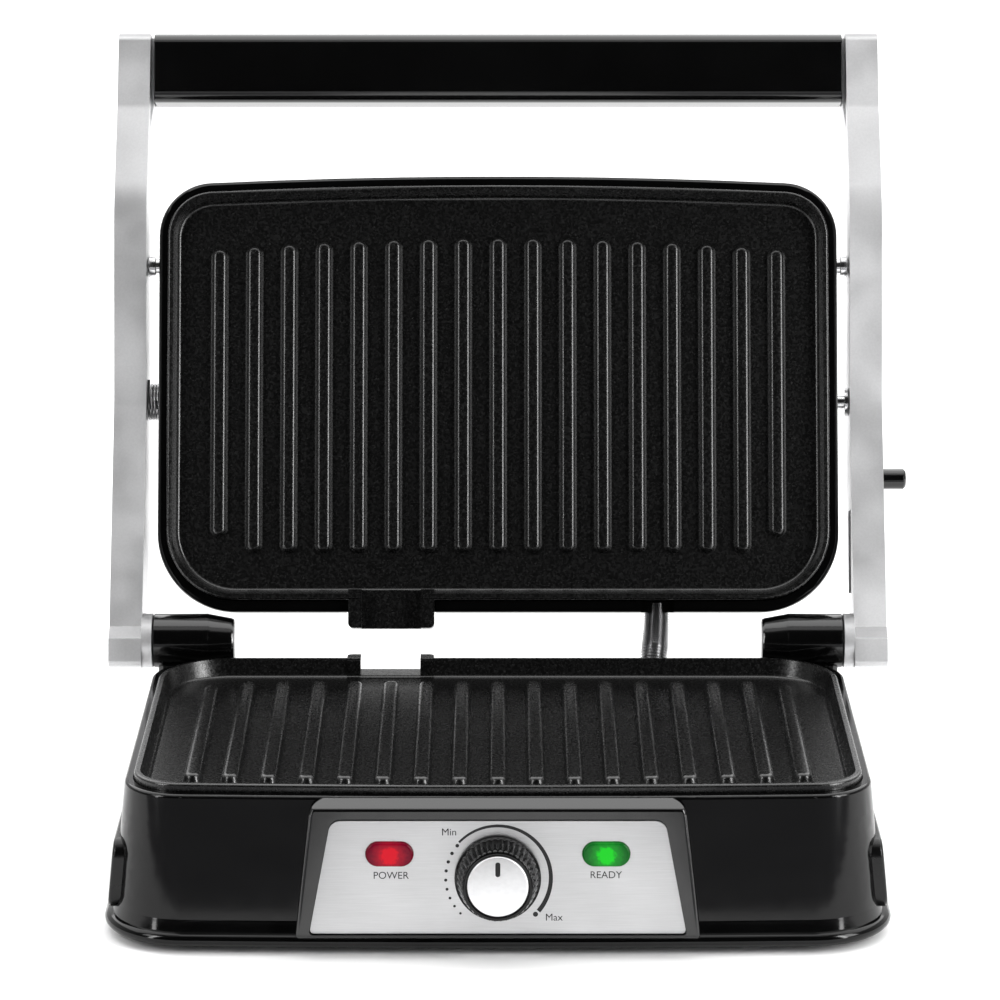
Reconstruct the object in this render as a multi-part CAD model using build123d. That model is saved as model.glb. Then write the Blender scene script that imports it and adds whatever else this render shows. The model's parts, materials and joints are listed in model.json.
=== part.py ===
from build123d import *
import math
import os

# Contact grill (panini press) with two ribbed plates, a floating lid carried by two arms,
# and a hinge that lets the lid lie back flat. Millimetres, X to the right, Y to the back, Z up.
# The origin is on the surface the feet stand on, under the middle of the base.
# The lid is drawn shut, then turned about the hinge axis to the angle it rests at when open.

# ---- driving dimensions ----
OPEN_ANGLE = 108.76          # shut to rest, degrees
FLAT_ANGLE = 71.24           # rest to lying back flat, degrees
FLOAT_ANGLE = 4.5            # tilt of the lid on its arms, degrees
HINGE_Y = 84.6
HINGE_Z = 61.95

RIB_COUNT = 17
RIB_PITCH = 13.6
RIB_WIDTH = 7.0
RIB_HEIGHT = 3.3
RIB_TAPER = 17.0             # draft of a rib's side, degrees
RIB_ROUND = 1.7              # rounding of a rib's crest
RIB_CREST = 55.0             # height of the lower ribs' crests
LID_RIB_CREST = 62.55        # the same for the lid's ribs, lid shut
LID_SHIFT = 4.15             # how far the lid's plate lies in front of the lower one, shut
RIM_RISE = 3.6               # rim above the crests
PLATE_HALF = 128.8
PLATE_FRONT = -89.1
PLATE_BACK = 73.0
PLATE_BOW = 3.4              # how far the front edge bows outwards at its middle
PLATE_FLOOR = RIB_CREST - RIB_HEIGHT
PLATE_THICK = 3.0
RIM_WALL = 2.2
OUTER_RIB_FRONT = -65.0
OUTER_RIB_BACK = 48.6
INNER_RIB_BACK = 54.8
DRAIN_X = -41.4
DRAIN_WIDTH = 23.0
DRAIN_LIP = 5.2              # thickness of the spout's walls

HOUSING_TOP = 55.8
HOUSING_TOP_HALF = 132.0
HOUSING_FRONT = -93.0
HOUSING_BACK = 77.6
WALL_SLOPE = 0.103           # how much the walls lean out for each millimetre down
WALL = 2.6
DECK_TOP = 47.0
DECK_BACK = 91.0
LIP_OUT = 2.9                # the foot lip beyond the wall
LIP_TOP = 7.4
LIP_BOTTOM = 2.4
FOOT_R = 8.0
FOOT_X = 112.0
FOOT_Y = 70.0

LID_HALF = 132.5
LID_FRONT = -97.5            # lid's front edge, shut
LID_BACK = 73.7
LID_BOW = 3.6
LID_EDGE = 62.6              # the edge that faces the base, shut
LID_WALL_TOP = 86.0
LID_CROWN = 95.0

ARM_INNER = 137.6
ARM_OUTER = 150.2
PIVOT = (-10.05, 78.55)      # lid pivot in Y and Z, shut
STOP = (-63.55, 76.3)        # stop pin in Y and Z, shut
BARREL_R = 10.5
HINGE_PIN_R = 4.0
HANDLE_Y = (-157.0, -129.6)
HANDLE_Z = (77.0, 97.0)
HANDLE_HALF = 136.3
TIE_Z = 88.0
LATCH_Y = 20.4               # the latch's knob, shut
LATCH_Z = 77.5

PANEL_TILT = 5.7             # how far the control panel leans back, degrees
PANEL_Y = -100.0
PANEL_Z = 28.6
KNOB_R = 15.1
LIGHT_X = 37.8
LIGHT_UP = 8.5

TRAY_X = (-88.0, 8.0)
TRAY_Y = (30.0, 89.0)
TRAY_Z = (8.0, 23.0)
CONDUIT_R = 5.2
GLAND_X = -107.0
CONDUIT_X = 60.0
CONDUIT_LID_Z = 70.5          # where the conduit enters the lid, shut

PIECES = {}


def keep(name, piece):
    PIECES[name] = piece


def opened(piece):
    hinge = Axis((0, HINGE_Y, HINGE_Z), (1, 0, 0))
    return piece.rotate(hinge, -OPEN_ANGLE)


def closed_point(y, z):
    """Where a point of the shut lid goes when the lid is at rest, as (y, z)."""
    a = math.radians(-OPEN_ANGLE)
    dy, dz = y - HINGE_Y, z - HINGE_Z
    return (HINGE_Y + dy * math.cos(a) - dz * math.sin(a), HINGE_Z + dy * math.sin(a) + dz * math.cos(a))


# ---- small helpers ----
def outline(half, front, back, bow, r_front, r_back, z=0.0):
    """A rounded tray shape whose front edge bows outwards."""
    left, right = (-half, front + bow), (half, front + bow)
    path = Polyline(left, (-half, back), (half, back), right)
    nose = ThreePointArc(right, (0, front), left)
    face = make_face([*path.edges(), nose])
    corners = face.vertices()
    face = fillet(corners.filter_by(lambda v: v.Y > (front + back) / 2), r_back)
    fronts = [v for v in face.vertices() if abs(abs(v.X) - half) < 0.01 and abs(v.Y - front - bow) < 0.01]
    face = fillet(fronts, r_front)
    return Pos(0, 0, z) * face


def slab(half, front, back, bow, r_front, r_back, z0, z1, taper=0.0):
    return extrude(outline(half, front, back, bow, r_front, r_back, z0), z1 - z0, taper=taper)


def block(x, y, z):
    """A box from three (low, high) pairs."""
    size = [high - low for low, high in (x, y, z)]
    middle = [(high + low) / 2 for low, high in (x, y, z)]
    return Pos(*middle) * Box(*size)


def rod(x0, x1, y, z, radius):
    """A cylinder along X."""
    return Pos((x0 + x1) / 2, y, z) * Rot(0, 90, 0) * Cylinder(radius, abs(x1 - x0))


def post(x, y, z0, z1, radius):
    return Pos(x, y, (z0 + z1) / 2) * Cylinder(radius, z1 - z0)


def both(maker):
    """The right-hand piece and its mirror image."""
    right = maker()
    return right, mirror(right, Plane.YZ)


def panel_plane(out=0.0):
    """The control panel's own plane, with its normal towards the user."""
    tilt = math.radians(PANEL_TILT)
    normal = (0, -math.cos(tilt), math.sin(tilt))
    origin = (0, PANEL_Y + out * normal[1], PANEL_Z + out * normal[2])
    return Plane(origin=origin, x_dir=(1, 0, 0), z_dir=normal)


def on_panel(sketch, start, end):
    """A flat shape of the panel's plane made solid from start to end along its normal."""
    return extrude(panel_plane(start) * sketch, end - start)


def screw(radius, head_r, length, head_h):
    """A pan-head screw pointing down, the head's underside at z = 0."""
    head = Pos(0, 0, head_h / 2) * Cylinder(head_r, head_h)
    head = fillet(head.edges().filter_by(GeomType.CIRCLE).group_by(Axis.Z)[-1], head_h * 0.45)
    shank = Pos(0, 0, -length / 2) * Cylinder(radius, length)
    cross = Box(head_r * 1.2, head_h * 0.3, head_h) + Box(head_h * 0.3, head_r * 1.2, head_h)
    return head + shank - Pos(0, 0, head_h) * cross


# ---- the two grill plates ----
def rib(x, front, back):
    slot = SlotOverall(back - front, RIB_WIDTH, rotation=90)
    low = Pos(x, (front + back) / 2, PLATE_FLOOR - 0.2) * slot
    body = extrude(low, RIB_HEIGHT + 0.2, taper=RIB_TAPER)
    return fillet(body.faces().sort_by(Axis.Z)[-1].edges(), RIB_ROUND)


def rib_ends(index):
    """Front and back end of a rib: the fronts follow the bowed edge, the end ribs stop short."""
    middle = (RIB_COUNT - 1) / 2
    offset = abs(index - middle) / middle
    front = OUTER_RIB_FRONT - 4.4 * (1 - offset ** 2)
    back = OUTER_RIB_BACK if offset > 0.99 else INNER_RIB_BACK
    return front, back


def drain_cut(top, reach):
    """The channel through the rim, with a floor that runs down and out."""
    half = DRAIN_WIDTH / 2
    low = PLATE_FLOOR + 0.4
    profile = Polyline((60.0, low + 0.5), (reach, low + 0.1), (reach, top), (60.0, top), close=True)
    side = make_face(Plane.YZ * profile)
    channel = extrude(Pos(DRAIN_X - half, 0, 0) * side, DRAIN_WIDTH, dir=(1, 0, 0))
    return channel


def grill_plate(reach):
    """One cast plate, ribs up, with its drain spout reaching back to the given Y."""
    r_front, r_back = 17.5, 27.0
    floor, rim_top = PLATE_FLOOR, RIB_CREST + RIM_RISE
    body = slab(PLATE_HALF, PLATE_FRONT, PLATE_BACK, PLATE_BOW, r_front, r_back, floor - PLATE_THICK, rim_top)
    body = fillet(body.faces().sort_by(Axis.Z)[-1].edges(), 1.0)
    well = outline(PLATE_HALF - RIM_WALL, PLATE_FRONT + RIM_WALL, PLATE_BACK - RIM_WALL, PLATE_BOW,
                   r_front - RIM_WALL, r_back - RIM_WALL, rim_top)
    pocket = extrude(well, -(rim_top - floor), taper=14)
    pocket = fillet(pocket.faces().sort_by(Axis.Z)[0].edges(), 1.6)
    body -= pocket
    half = DRAIN_WIDTH / 2 + DRAIN_LIP
    spout = block((DRAIN_X - half, DRAIN_X + half), (PLATE_BACK - 4, reach), (floor - PLATE_THICK, rim_top - 0.4))
    spout = fillet(spout.edges().filter_by(Axis.Z).group_by(Axis.Y)[-1], 2.0)
    body += spout
    body -= drain_cut(rim_top + 5, reach + 3)
    for index in range(RIB_COUNT):
        front, back = rib_ends(index)
        x = (index - (RIB_COUNT - 1) / 2) * RIB_PITCH
        body += rib(x, front, back)
    for x in (-86, 86):
        for y in (-48, 42):
            body += post(x, y, floor - PLATE_THICK - 7.5, floor - PLATE_THICK + 0.1, 4.2)
    return body


def lid_plate():
    """The same casting turned over, hanging in the lid."""
    flipped = grill_plate(PLATE_BACK + 11.0)
    flipped = mirror(flipped, Plane.XY)
    return Pos(0, -LID_SHIFT, LID_RIB_CREST + RIB_CREST) * flipped


def lower_plate():
    return grill_plate(PLATE_BACK + 5.6)


# ---- heating ----
def element_path(z):
    legs = [(-104, 60), (-104, -66), (-38, -66), (-38, 30), (38, 30), (38, -66), (104, -66), (104, 60)]
    points = [(x, y, z) for x, y in legs]
    return FilletPolyline(*points, radius=18)


def heating_element(z):
    path = element_path(z)
    start = Plane(origin=path @ 0, z_dir=path % 0)
    tube = sweep(start * Circle(3.2), path=path)
    for end in (0, 1):
        point = path @ end
        tube += Pos(point.X, point.Y + 5, z) * Rot(90, 0, 0) * Cylinder(2.0, 10)
    return tube


def reflector(z):
    """A shallow sheet tray under the element."""
    outer = slab(119, -62, 66, 0.5, 12, 20, z, z + 3.5)
    inner = slab(118.2, -61.2, 65.2, 0.5, 11.2, 19.2, z + 0.8, z + 4)
    tray = outer - inner
    for x in (-86, 86):
        for y in (-48, 42):
            tray -= post(x, y, z - 1, z + 5, 5.0)
    return tray


def lid_side(piece, z_flip=LID_RIB_CREST + RIB_CREST):
    """Carries a piece of the base's heating stack over to the shut lid."""
    return Pos(0, -LID_SHIFT, z_flip) * mirror(piece, Plane.XY)


# ---- base ----
def wall_half(z):
    return HOUSING_TOP_HALF + (HOUSING_TOP - z) * WALL_SLOPE


def wall_section(z, inset, back):
    """A level section through the base's walls, shrunk by inset."""
    lean = (HOUSING_TOP - z) * WALL_SLOPE
    half = HOUSING_TOP_HALF + lean - inset
    r_front = 21.0 + 1.2 * lean - inset
    r_back = 21.0 + 1.2 * lean - inset
    return outline(half, HOUSING_FRONT - lean + inset, back + lean * 0.2 - inset, 3.2, r_front, r_back, z)


def lip_section(z, out):
    return wall_section(z, -out, DECK_BACK)


def rounded_loft(sections):
    return loft(sections, ruled=True)


def base_outer():
    """The whole outside of the base as one solid: foot lip, leaning walls, low deck at the back."""
    lip_mid = (LIP_TOP + LIP_BOTTOM) / 2
    lip_r = (LIP_TOP - LIP_BOTTOM) / 2
    sections = []
    for step in range(7):
        angle = math.radians(-90 + 30 * step)
        sections.append(lip_section(lip_mid + lip_r * math.sin(angle), LIP_OUT - lip_r + lip_r * math.cos(angle)))
    for step in range(1, 6):
        angle = math.radians(18 * step)
        drop = 4.2
        z = LIP_TOP + drop * math.sin(angle)
        out = (LIP_OUT - lip_r) * (1 - step / 5) ** 2
        sections.append(lip_section(z, out))
    sections.append(lip_section(DECK_TOP, 0))
    low = rounded_loft(sections)
    low = fillet(low.faces().sort_by(Axis.Z)[-1].edges(), 1.5)
    up = [wall_section(DECK_TOP - 6, 0, HOUSING_BACK), wall_section(HOUSING_TOP, 0, HOUSING_BACK)]
    top = rounded_loft(up)
    top = fillet(top.faces().sort_by(Axis.Z)[-1].edges(), 1.4)
    return low + top


def hollowed(body):
    """Takes out what is hollow inside the base."""
    low = rounded_loft([wall_section(2.0, WALL, DECK_BACK), wall_section(DECK_TOP - WALL, WALL, DECK_BACK)])
    top = extrude(wall_section(DECK_TOP - 6, WALL + 1.0, HOUSING_BACK), 5.2)
    seat = slab(PLATE_HALF + 0.4, PLATE_FRONT - 0.4, PLATE_BACK + 0.4, PLATE_BOW, 17.9, 27.4, 45.9, 60)
    return body - low - top - seat


def hinge_clearance():
    gap = BARREL_R + 0.3
    return rod(100, 134.6, HINGE_Y, HINGE_Z, gap) + rod(-134.6, -100, HINGE_Y, HINGE_Z, gap)


def base_housing():
    body = hollowed(base_outer()) - hinge_clearance()
    half = DRAIN_WIDTH / 2 + DRAIN_LIP + 0.8
    drain = block((DRAIN_X - half, DRAIN_X + half), (66, PLATE_BACK + 6.6), (45, 60))
    drop = block((DRAIN_X - 14, DRAIN_X + 14), (77, 88.0), (40, 60))
    mouth = block((TRAY_X[0] - 0.6, TRAY_X[1] + 0.6), (80, 100), (TRAY_Z[0] - 1.0, TRAY_Z[1] + 1.0))
    body = body - drain - drop - mouth
    window = on_panel(Trapezoid(126, 34, 84), -16, 2)
    body -= window
    body -= post(CONDUIT_X, 84.5, 40, 50, CONDUIT_R + 0.1)
    body -= Pos(GLAND_X, 91, 26) * Rot(90, 0, 0) * Cylinder(7.0, 14)
    for x in (-118, 118):
        for y in (-60, 50):
            body += post(x, y, 4.6, 30, 3.6) + block((min(x, x * 1.12), max(x, x * 1.12)), (y - 1, y + 1), (8, 30))
            body -= post(x, y, 0, 16, 1.5)
    for x, y in bracket_screws():
        body -= post(x, y, 40, 50, 1.6)
    return body


def bracket_screws():
    return [(side * x, 84.4) for side in (-1, 1) for x in (107.5, 116.5)]


def base_cover():
    sheet = wall_section(3.0, WALL + 0.3, DECK_BACK)
    cover = extrude(sheet, 1.6)
    for x in (-FOOT_X, FOOT_X):
        for y in (-FOOT_Y, FOOT_Y - 6):
            cover -= post(x, y, 0, 6, FOOT_R - 2.4)
    for x in (-118, 118):
        for y in (-60, 50):
            cover -= post(x, y, 0, 6, 1.8)
    for row in range(9):
        cover -= Pos(0, -30 + row * 6, 4) * extrude(SlotOverall(60, 2.4), 4, both=True)
    return cover


def foot(x, y):
    pad = fillet(post(x, y, 0, 2.9, FOOT_R).edges().group_by(Axis.Z)[0], 0.8)
    return pad + post(x, y, 2.8, 6.0, FOOT_R - 2.5)


def side_panel():
    """The long raised grip panel on the right-hand wall."""
    shape = Plane.YZ * (Pos(-5.5, 22.3) * RectangleRounded(150, 25.4, 6.0))
    grip = extrude(Pos(125, 0, 0) * shape, 16, dir=(1, 0, 0))
    lean = math.degrees(math.atan(WALL_SLOPE))
    shell = Pos(wall_half(22.3) + 1.7, 0, 22.3) * Rot(0, -lean, 0) * Pos(-10, 0, 0) * Box(20, 260, 80)
    grip = grip & shell
    faces = grip.faces().sort_by(Axis.X)[-1]
    grip = fillet(faces.edges(), 1.3)
    return grip - base_outer()


# ---- control panel ----
def control_bezel():
    outside = make_face(Polyline((-71, -21.6), (71, -21.6), (65.4, 27.5), (-65.4, 27.5), close=True))
    outside = fillet(outside.vertices().group_by(Axis.Y)[-1], 6.0)
    outside = fillet(outside.vertices().group_by(Axis.Y)[0], 1.5)
    frame = on_panel(outside, -9.5, 1.6)
    # the top slopes down from the housing's top edge to the front
    slope = make_face(Plane.YZ * Polyline((-92.6, 56.2), (-101.9, 52.0), (-112, 52.0), (-112, 66), (-92.6, 66),
                                          close=True))
    frame -= extrude(Pos(-80, 0, 0) * slope, 160, dir=(1, 0, 0))
    fronts = frame.faces().sort_by(Axis.Y)[0].edges()
    frame = fillet(fronts, 1.5)
    recess = make_face(Polyline((-66.2, -20.3), (66.2, -20.3), (58.8, 21.6), (-58.8, 21.6), close=True))
    recess = fillet(recess.vertices().group_by(Axis.Y)[-1], 4.5)
    recess = fillet(recess.vertices().group_by(Axis.Y)[0], 1.5)
    frame -= on_panel(recess, -1.2, 6)
    frame -= on_panel(Trapezoid(122, 32, 84), -12, 0)
    return frame - base_outer()


def light_shape(gap=0.0):
    return SlotOverall(16.8 + 2 * gap, 8.8 + 2 * gap)


def control_fascia():
    face = make_face(Polyline((-65.9, -20.0), (65.9, -20.0), (58.3, 20.2), (-58.3, 20.2), close=True))
    face = fillet(face.vertices().group_by(Axis.Y)[-1], 4.2)
    face = fillet(face.vertices().group_by(Axis.Y)[0], 1.3)
    plate = on_panel(face, -1.15, 0.0)
    plate -= on_panel(Circle(4.1), -3, 3)
    for x in (-LIGHT_X, LIGHT_X):
        plate -= on_panel(Pos(x, LIGHT_UP) * light_shape(0.1), -3, 3)
    return plate


def light_lens(x):
    body = on_panel(Pos(x, LIGHT_UP) * light_shape(), -6.0, 1.3)
    body = fillet(body.faces().sort_by(Axis.Y)[0].edges(), 1.1)
    flange = on_panel(Pos(x, LIGHT_UP) * light_shape(1.6), -4.4, -1.3)
    hollow = on_panel(Pos(x, LIGHT_UP) * SlotOverall(13.6, 5.6), -7.0, -1.4)
    return body + flange - hollow


def neon_lamp(x):
    lamp = on_panel(Pos(x, LIGHT_UP) * Circle(2.2), -14.0, -3.0)
    return lamp + on_panel(Pos(x, LIGHT_UP) * Circle(1.6), -3.0, -1.9)


def lamp_holder(x):
    return on_panel(Pos(x, LIGHT_UP) * Rectangle(20, 11), -20.0, -14.0)


def thermostat():
    body = on_panel(Circle(3.0), -8.0, -6.0)
    body += on_panel(RectangleRounded(30, 26, 3), -24.0, -8.0)
    for x in (-11, 11):
        body += on_panel(Pos(x, 0) * Rectangle(6.3, 0.8), -34.0, -24.0)
    return body - on_panel(Circle(2.55), -9.0, -5.0)


def knob_shaft():
    return on_panel(Circle(2.5), -8.8, 7.5)


def knob_body():
    """A tapered black grip with shallow flutes, hollow at the front for its cap."""
    skirt = on_panel(Circle(KNOB_R), 0.5, 2.0)
    grip = extrude(panel_plane(2.0) * Circle(14.6), 11.0, taper=9)
    body = skirt + grip
    body -= on_panel(Circle(10.7), 12.2, 20)
    for index in range(40):
        flute = Pos(14.55, 0, 0) * Rot(0, -9, 0) * Cylinder(0.55, 30)
        body -= panel_plane(7.5) * (Rot(0, 0, index * 9) * flute)
    return body - on_panel(Circle(2.5), 0, 7.5)


def knob_cap():
    cap = on_panel(Circle(10.6), 12.2, 13.9)
    return fillet(cap.faces().sort_by(Axis.Y)[0].edges(), 0.6)


# ---- hinge ----
def barrel_outline():
    """Half of the hinge barrel's long section: distance along X, and radius."""
    start, shoulder, end = 133.4, 111.4, 101.8
    points = [(start, 0), (start, BARREL_R - 0.5), (start - 0.5, BARREL_R),
              (shoulder + 0.5, BARREL_R), (shoulder + 0.5, BARREL_R - 0.25), (shoulder, BARREL_R - 0.25),
              (end + 1.4, 8.7), (end + 0.4, 8.2), (end, 7.2), (end, 0)]
    return make_face(Polyline(*points, close=True))


def hinge_barrel():
    """The right-hand barrel that stands on the deck and takes the hinge pin."""
    turned = revolve(barrel_outline(), Axis.X)
    body = Pos(0, HINGE_Y, HINGE_Z) * turned
    stand = block((104, 131.5), (78.4, 90.6), (DECK_TOP, HINGE_Z))
    stand = fillet(stand.edges().filter_by(Axis.Z), 2.0)
    body += stand - block((90, 140), (70, 100), (40, DECK_TOP))
    for x, y in bracket_screws():
        if x > 0:
            body -= post(x, y, 40, 56, 1.3)
    return body - rod(106, 140, HINGE_Y, HINGE_Z, HINGE_PIN_R)


def hinge_pin():
    """A headed pin: tight in the barrel, running in the arm."""
    pin = rod(106, 148.0, HINGE_Y, HINGE_Z, HINGE_PIN_R)
    return chamfer(pin.faces().sort_by(Axis.X)[0].edges(), 0.6)


def bracket_screw_group():
    one = screw(1.3, 2.6, 8.5, 1.6)
    return Compound(children=[Pos(x, y, 44.3) * Rot(180, 0, 0) * one for x, y in bracket_screws()])


# ---- arms and handle (drawn shut) ----
def arm_profile():
    """Side view of an arm, as Y and Z of the shut lid: a deep root that thins towards the handle."""
    under = [(95.1, 51.45), (84.2, 51.45), (79.6, 55.8), (-8.6, 69.6), (-85.6, 62.6), (-127.0, 74.6), (-157.4, 79.0)]
    upper = [(-157.4, 98.0), (-129.0, 96.0), (-106.0, 80.0), (-63.0, 84.6), (-31.0, 86.6), (2.0, 99.0), (48.0, 90.0),
             (80.0, 73.2), (95.1, 73.0)]
    return under, upper


def arm(side):
    under, upper = arm_profile()
    face = make_face(Plane.YZ * Polyline(*under, *upper, close=True))
    body = extrude(Pos(ARM_INNER, 0, 0) * face, ARM_OUTER - ARM_INNER, dir=(1, 0, 0))

    def bends(y_low, y_high):
        return [e for e in body.edges().filter_by(Axis.X) if y_low < e.center().Y < y_high]

    body = fillet(bends(-90, -80), 55)
    body = fillet(bends(-110, -100), 25)
    body = fillet(bends(-130, -125), 14)
    body = fillet(bends(-160, -150), 4)
    body = fillet(bends(-20, 0), 12)
    body = fillet(bends(-70, -60) + bends(-35, -25), 20)
    body = fillet(bends(0.5, 5), 12)
    body = fillet([e for e in bends(94, 96) if e.center().Z > 60], 6)
    body = fillet([e for e in bends(94, 96) if e.center().Z < 60], 2.5)
    body = fillet(bends(84, 85) + bends(79, 79.9), 0.8)
    # the boss towards the barrel
    boss = rod(ARM_INNER - 3.9, ARM_INNER + 0.1, HINGE_Y, HINGE_Z, BARREL_R)
    body += boss
    body -= rod(130, 148.4, HINGE_Y, HINGE_Z, HINGE_PIN_R + 0.05)
    body -= rod(130, 146.0, PIVOT[0], PIVOT[1], 3.05)
    body -= rod(130, 143.0, sum(HANDLE_Y) / 2, TIE_Z, 2.95)
    body -= stop_slot()
    body = body + gusset()
    if side > 0:
        body -= latch_space()
        return body
    return mirror(body, Plane.YZ)


def gusset():
    """The web that carries the handle's end, tapering back along the arm's inner face."""
    web = Polyline((ARM_INNER + 0.1, -118.0), (ARM_INNER - 1.2, -130.0), (HANDLE_HALF, -130.2), (HANDLE_HALF, -156.0),
                   (ARM_INNER + 0.1, -156.6), close=True)
    shape = extrude(Pos(0, 0, 70.0) * make_face(web), 30)
    side = make_face(Plane.YZ * Polyline((-117.0, 79.0), (-129.0, 83.0), (-156.0, 85.0), (-156.0, 96.0), (-129.0, 95.0),
                                         (-117.0, 86.5), close=True))
    web = shape & extrude(Pos(130, 0, 0) * side, 20, dir=(1, 0, 0))
    return web - rod(130, 143.0, sum(HANDLE_Y) / 2, TIE_Z, 2.95)


def stop_slot():
    """An arc slot in the arm's inner face, centred on the lid's pivot."""
    reach = math.hypot(STOP[0] - PIVOT[0], STOP[1] - PIVOT[1])
    start = math.degrees(math.atan2(STOP[1] - PIVOT[1], STOP[0] - PIVOT[0]))
    slot = Plane.YZ * (Pos(PIVOT[0], PIVOT[1]) * SlotArc(CenterArc((0, 0), reach, start, FLOAT_ANGLE), 5.3))
    return extrude(Pos(ARM_INNER - 0.5, 0, 0) * slot, 5.0, dir=(1, 0, 0))


def latch_space():
    """Room inside the right arm for the flat-opening latch, with a slot for its knob."""
    inner = block((ARM_INNER - 0.1, ARM_INNER + 4.7), (33.0, 68.5), (68.5, 81.0))
    knob_slot = Plane.YZ * (Pos(LATCH_Y - 4, LATCH_Z) * SlotOverall(16.0, 5.4))
    slot = extrude(Pos(ARM_INNER + 3.0, 0, 0) * knob_slot, 12, dir=(1, 0, 0))
    channel = block((ARM_INNER + 4.0, ARM_INNER + 7.4), (2.0, 68.5), (72.5, 82.0))
    return fillet(inner.edges().filter_by(Axis.X), 1.5) + slot + channel


def release_slider():
    """The flat bar inside the arm that the knob moves along."""
    bar = block((ARM_INNER + 4.4, ARM_INNER + 7.0), (12.0, 66.0), (73.5, 81.0))
    nose = block((ARM_INNER + 1.0, ARM_INNER + 4.5), (54.0, 66.0), (71.0, 79.0))
    stem = Pos((ARM_INNER + 6.9 + 151.4) / 2, LATCH_Y, LATCH_Z) * Rot(0, 90, 0) * Cylinder(2.4, 151.4 - ARM_INNER - 6.9)
    return bar + nose + stem


def release_knob():
    knob = rod(150.5, 159.8, LATCH_Y, LATCH_Z, 4.0)
    knob = chamfer(knob.faces().sort_by(Axis.X)[-1].edges(), 0.9)
    return knob - rod(150.0, 151.4, LATCH_Y, LATCH_Z, 2.4)


def release_spring():
    wire = Helix(pitch=2.0, height=9.0, radius=1.2)
    start = Plane(origin=wire @ 0, z_dir=wire % 0)
    coil = sweep(start * Circle(0.3), path=wire, is_frenet=True)
    return Pos(ARM_INNER + 5.7, 2.6, 77.2) * Rot(-90, 0, 0) * coil


def handle_bar():
    section = Plane.YZ * (Pos(sum(HANDLE_Y) / 2, sum(HANDLE_Z) / 2) * RectangleRounded(27.4, 20.0, 5.0))
    bar = extrude(Pos(-HANDLE_HALF + 0.2, 0, 0) * section, 2 * HANDLE_HALF - 0.4, dir=(1, 0, 0))
    return bar - rod(-HANDLE_HALF, HANDLE_HALF, sum(HANDLE_Y) / 2, TIE_Z, 2.95)


def handle_rod():
    """The steel rod that ties the arms together through the handle."""
    return rod(-142.8, 142.8, sum(HANDLE_Y) / 2, TIE_Z, 2.9)


# ---- lid ----
def lid_outline(z, inset):
    return outline(LID_HALF - inset, LID_FRONT + inset, LID_BACK - inset, LID_BOW, 21 - inset * 0.6,
                   31 - inset * 0.6, z)


def lid_shell():
    """The band round the lid that holds its plate."""
    lips = [(0.0, 1.3), (0.4, 0.75), (1.0, 0.3), (2.2, 0.0)]
    outer = rounded_loft([lid_outline(LID_EDGE + rise, inset) for rise, inset in lips]
                         + [lid_outline(LID_WALL_TOP, 2.2)])
    inner = rounded_loft([lid_outline(LID_EDGE + 6.0, 4.4), lid_outline(LID_WALL_TOP + 1, 5.2)])
    seat = slab(PLATE_HALF + 0.4, PLATE_FRONT - 0.4 - LID_SHIFT, PLATE_BACK + 0.4 - LID_SHIFT, PLATE_BOW, 17.9, 27.4,
                LID_EDGE - 4, LID_EDGE + 6.5)
    body = outer - inner - seat
    half = DRAIN_WIDTH / 2 + DRAIN_LIP + 0.6
    body -= block((DRAIN_X - half, DRAIN_X + half), (60, 84), (50, 70.0))
    body -= block((55.4, 68.4), (66, 84), (LID_EDGE - 1, LID_EDGE + 3.0))
    body -= Pos(CONDUIT_X + 1.8, 76, CONDUIT_LID_Z) * Rot(90, 0, 0) * Cylinder(CONDUIT_R + 0.3, 20)
    for y, z, radius in ((*PIVOT, 3.0), (*STOP, 2.5)):
        for side in (-1, 1):
            boss = rod(side * 122, side * 129.6, y, z, 6.5)
            body = body + boss - rod(side * 120, side * 134, y, z, radius)
    return body


def lid_cover():
    """The crowned top of the lid, with a shallow raised field."""
    stack = [(LID_WALL_TOP, 2.2), (LID_WALL_TOP + 3.0, 2.6), (LID_WALL_TOP + 5.6, 4.4), (LID_CROWN - 2.2, 8.0),
             (LID_CROWN - 1.2, 12.0)]
    outer = rounded_loft([lid_outline(z, inset) for z, inset in stack])
    field = slab(LID_HALF - 24, LID_FRONT + 24, LID_BACK - 24, LID_BOW, 16, 22, LID_CROWN - 1.3, LID_CROWN, taper=30)
    outer += field
    hollow = rounded_loft([lid_outline(z, inset + 2.6) for z, inset in
                           ((LID_WALL_TOP - 1, 2.6), (LID_WALL_TOP + 3.0, 4.2), (LID_CROWN - 3.8, 10.0))])
    cover = outer - hollow
    for row in range(7):
        cover -= Pos(0, 30 + row * 4.6, LID_CROWN) * extrude(SlotOverall(70, 2.0), 3, both=True)
    return cover


def pivot_pin():
    """A shouldered pin: fast in the lid, running in the arm."""
    pin = rod(124.0, 145.6, PIVOT[0], PIVOT[1], 3.0)
    collar = rod(131.4, 132.6, PIVOT[0], PIVOT[1], 4.6)
    return pin + collar


def pivot_washer():
    ring = rod(135.9, 137.3, PIVOT[0], PIVOT[1], 5.6)
    return ring - rod(130, 140, PIVOT[0], PIVOT[1], 3.1)


def stop_pin():
    """The guide pin that runs in the arm's arc slot."""
    pin = rod(124.0, 141.0, STOP[0], STOP[1], 2.5)
    collar = rod(131.5, 134.6, STOP[0], STOP[1], 3.4) + rod(134.6, 137.2, STOP[0], STOP[1], 4.3)
    return pin + collar


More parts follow.
